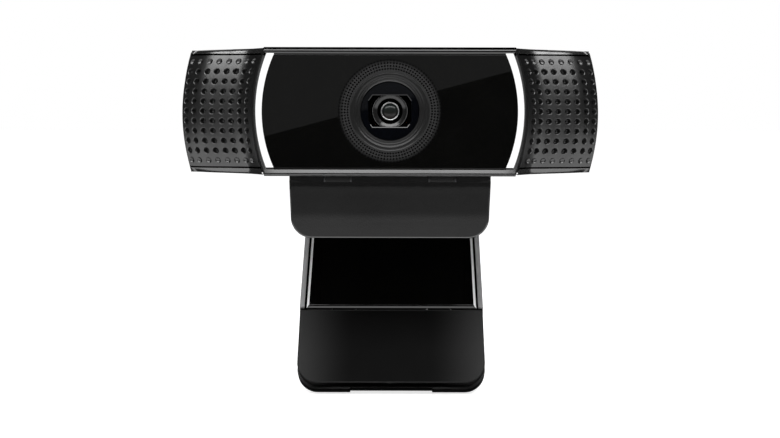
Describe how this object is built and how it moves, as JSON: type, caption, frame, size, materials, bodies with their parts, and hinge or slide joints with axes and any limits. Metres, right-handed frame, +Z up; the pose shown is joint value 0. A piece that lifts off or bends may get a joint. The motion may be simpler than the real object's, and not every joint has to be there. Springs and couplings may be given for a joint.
{
  "type": "webcam with folding screen clip",
  "caption": "Wide webcam head with a central lens, light strips and perforated wings, tilting on a folding clip that hooks over a screen or takes a tripod screw.",
  "frame": {"origin": "middle of the seat pad's underside, where the clip rests on a screen's top edge", "axes": "+X across the object towards its own left side as the viewer sees its right, -Y the way the lens looks, +Z up"},
  "size_m": [0.0952, 0.0695, 0.084],
  "materials": {
    "housing_black": "satin black moulding",
    "grille_black": "semi-gloss black, fine grain, perforated",
    "window_black": "high gloss black",
    "trim_grey": "fine concentric grooves",
    "guide_white": "translucent white, lit",
    "clip_black": "fine grained matte black",
    "arm_grey": "dark grey with a fine lengthwise grain",
    "panel_black": "high gloss black with bright bevels",
    "pad_rubber": "soft matte black",
    "steel": "plain steel",
    "brass": "turned brass",
    "copper": "enamelled copper wire, as one ring",
    "board_green": "green laminate",
    "chip_black": "black ceramic and silicon",
    "led_white": "white package",
    "pad_thermal": "grey silicone",
    "mic_metal": "small metal can",
    "lens_glass": "coated glass"
  },
  "bodies": {
    "clip": {"clip_bracket": "clip_black", "seat_pad": "pad_rubber", "lip_pad": "pad_rubber", "tilt_pin": "steel", "tilt_washers": "steel", "tilt_pin_caps": "housing_black", "arm_pin": "steel", "arm_washers": "steel", "arm_pin_caps": "housing_black"},
    "head": {"front_frame": "housing_black", "rear_housing": "housing_black", "window": "window_black", "lens_trim_ring": "trim_grey", "aperture_bezel": "housing_black", "light_guide_left": "guide_white", "light_guide_right": "guide_white", "grille_left": "grille_black", "grille_right": "grille_black", "cable_gland": "pad_rubber", "housing_screws": "steel", "tilt_bracket": "steel", "tilt_bracket_screws": "steel", "lens_holder": "housing_black", "focus_magnets": "steel", "focus_springs": "steel", "image_sensor": "chip_black", "ir_filter": "lens_glass", "main_board": "board_green", "board_screws": "steel", "shield_can": "steel", "thermal_pad": "pad_thermal", "usb_header": "housing_black", "led_board_left": "board_green", "led_board_right": "board_green", "leds": "led_white", "microphone_left": "mic_metal", "microphone_right": "mic_metal", "microphone_boot_left": "pad_rubber", "microphone_boot_right": "pad_rubber"},
    "lens": {"lens_barrel": "housing_black", "lens_elements": "lens_glass", "focus_coil": "copper"},
    "arm": {"arm_shell": "arm_grey", "arm_panel": "panel_black", "foot_pin": "steel", "foot_washers": "steel"},
    "foot": {"foot_shell": "clip_black", "foot_pad": "pad_rubber", "tripod_insert": "brass"}
  },
  "joints": [
    {"name": "head_tilt", "type": "hinge", "parent": "clip", "child": "head", "pos_m": [0, -0.025, 0.0057], "axis": [1, 0, 0], "range_deg": [-10, 18]},
    {"name": "lens_focus", "type": "slide", "parent": "head", "child": "lens", "axis": [0, -1, 0], "range_m": [0, 0.0004], "stiffness_N_per_m": 60, "springref_m": -0.0001},
    {"name": "arm_fold", "type": "hinge", "parent": "clip", "child": "arm", "pos_m": [0, 0.031, -0.0008], "axis": [1, 0, 0], "range_deg": [-47.7, 90]},
    {"name": "foot_fold", "type": "hinge", "parent": "arm", "child": "foot", "pos_m": [0, 0.008, -0.02868], "axis": [1, 0, 0], "range_deg": [-19.5, 70]}
  ]
}
